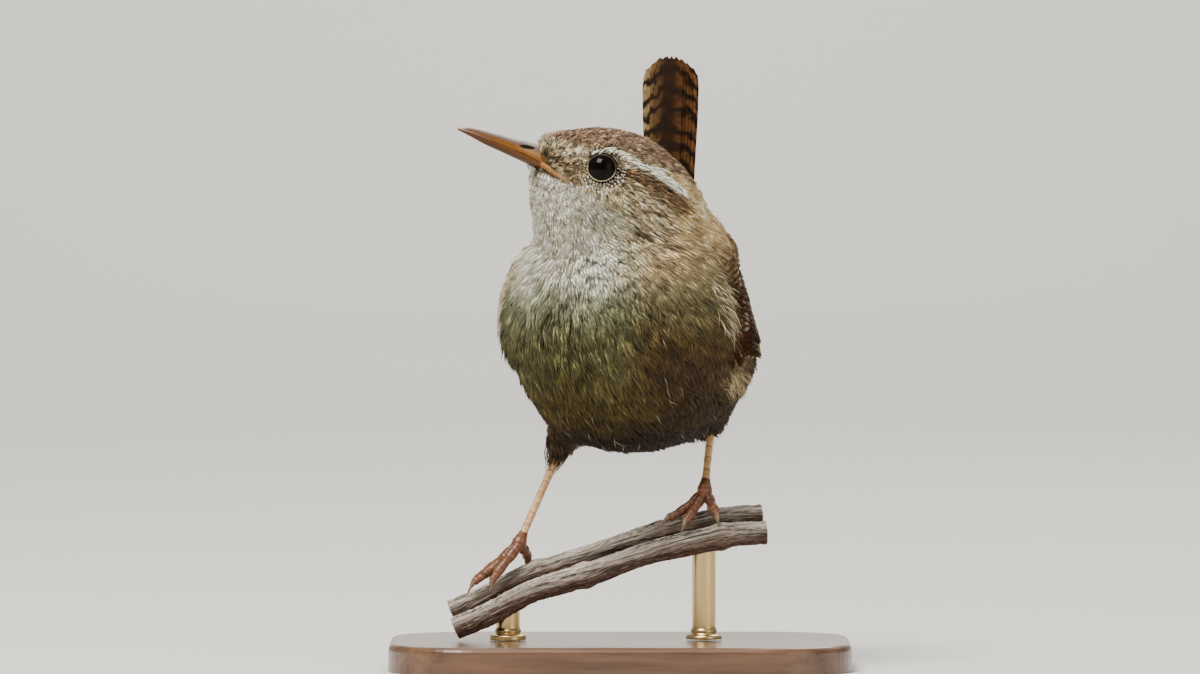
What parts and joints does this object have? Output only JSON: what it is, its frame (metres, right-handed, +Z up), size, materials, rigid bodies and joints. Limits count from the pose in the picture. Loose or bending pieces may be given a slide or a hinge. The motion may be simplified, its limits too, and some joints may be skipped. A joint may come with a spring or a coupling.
{
  "type": "wren on a perch",
  "caption": "A life-size Eurasian wren, tail cocked and head in profile, gripping a short length of twined stem held up by a plain display stand.",
  "frame": {"origin": "centre of the flat underside of the stand's base", "axes": "+Z up, the bird's breast faces -Y turned 15 degrees towards -X, the bill points towards -X"},
  "size_m": [0.066, 0.0516, 0.0877],
  "materials": {
    "plumage": "soft matt body feathers, brown above and greyish buff below",
    "flight_feathers": "satin rufous-brown vanes with dark bars",
    "eye": "wet gloss, nearly black",
    "bill": "smooth horn, grey-brown above and orange-yellow below",
    "leg_skin": "scaled pinkish-brown skin with pale horn claws",
    "bark": "dry ridged vine bark",
    "stand_wood": "satin varnish",
    "stand_brass": "brushed satin"
  },
  "bodies": {
    "root": {"head": "plumage", "neck": "plumage", "torso": "plumage", "thigh_left": "plumage", "thigh_right": "plumage", "wing_left": "flight_feathers", "wing_right": "flight_feathers", "tail": "flight_feathers", "eye_left": "eye", "eye_right": "eye", "bill_upper": "bill", "bill_lower": "bill", "tarsus_left": "leg_skin", "tarsus_right": "leg_skin", "foot_left": "leg_skin", "foot_right": "leg_skin", "perch_back": "bark", "perch_front": "bark", "stand_base": "stand_wood", "stand_rod_left": "stand_brass", "stand_rod_right": "stand_brass"}
  },
  "joints": []
}
